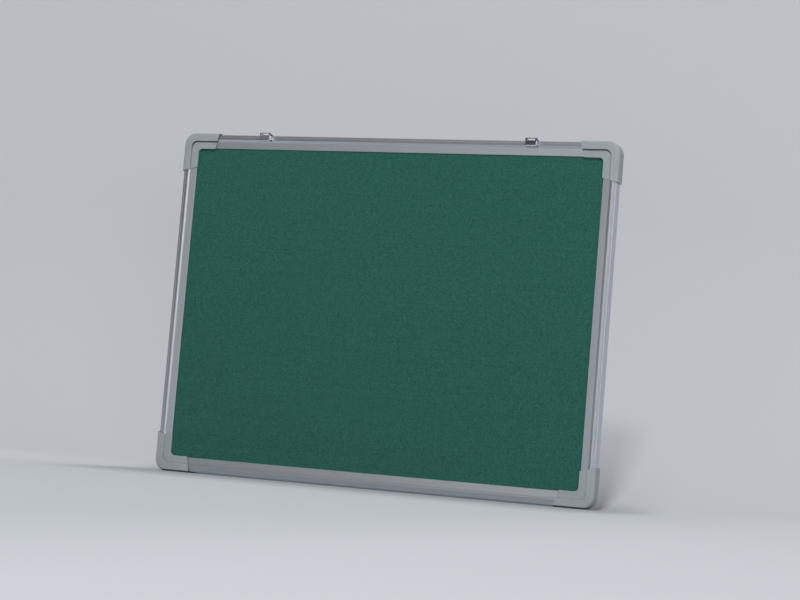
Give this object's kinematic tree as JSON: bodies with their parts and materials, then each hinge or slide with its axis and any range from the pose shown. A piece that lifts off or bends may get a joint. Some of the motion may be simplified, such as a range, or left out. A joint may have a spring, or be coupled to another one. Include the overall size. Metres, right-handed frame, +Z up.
{
  "type": "framed fabric pin board",
  "caption": "Small wall board with a green woven pin face in satin aluminium rails, grey moulded corner caps and sliding bright steel hanging clips on the top rail.",
  "frame": {"origin": "Under the middle of the board, in the plane of the lower corner caps' feet, at the middle of the overall depth.", "axes": "+X along the board to the viewer's right, +Y from the fabric face to the wall, +Z up."},
  "size_m": [0.603, 0.0244, 0.4544],
  "materials": {
    "fabric": "plain woven polyester, matt",
    "soft_board": "soft fibreboard",
    "hardboard": "thin hardboard, smooth side out",
    "aluminium": "satin anodised extrusion",
    "grey_plastic": "fine moulded texture",
    "nylon": "moulded",
    "zinc": "zinc plated",
    "bright_steel": "bright plated strip"
  },
  "bodies": {
    "frame": {"fabric_face": "fabric", "core_board": "soft_board", "back_panel": "hardboard", "top_rail": "aluminium", "right_rail": "aluminium", "bottom_rail": "aluminium", "left_rail": "aluminium", "corner_cap_top_left": "grey_plastic", "corner_cap_top_right": "grey_plastic", "corner_cap_bottom_right": "grey_plastic", "corner_cap_bottom_left": "grey_plastic", "corner_key_top_left": "nylon", "corner_key_top_right": "nylon", "corner_key_bottom_right": "nylon", "corner_key_bottom_left": "nylon", "screw_top_left_1": "zinc", "screw_top_left_2": "zinc", "screw_top_right_1": "zinc", "screw_top_right_2": "zinc", "screw_bottom_right_1": "zinc", "screw_bottom_right_2": "zinc", "screw_bottom_left_1": "zinc", "screw_bottom_left_2": "zinc"},
    "left_clip": {"left_clip": "bright_steel"},
    "right_clip": {"right_clip": "bright_steel"}
  },
  "joints": [
    {"name": "left_clip_slide", "type": "slide", "parent": "frame", "child": "left_clip", "axis": [1, 0, 0], "range_m": [-0.059, 0.165]},
    {"name": "right_clip_slide", "type": "slide", "parent": "frame", "child": "right_clip", "axis": [1, 0, 0], "range_m": [-0.17, 0.053]}
  ]
}
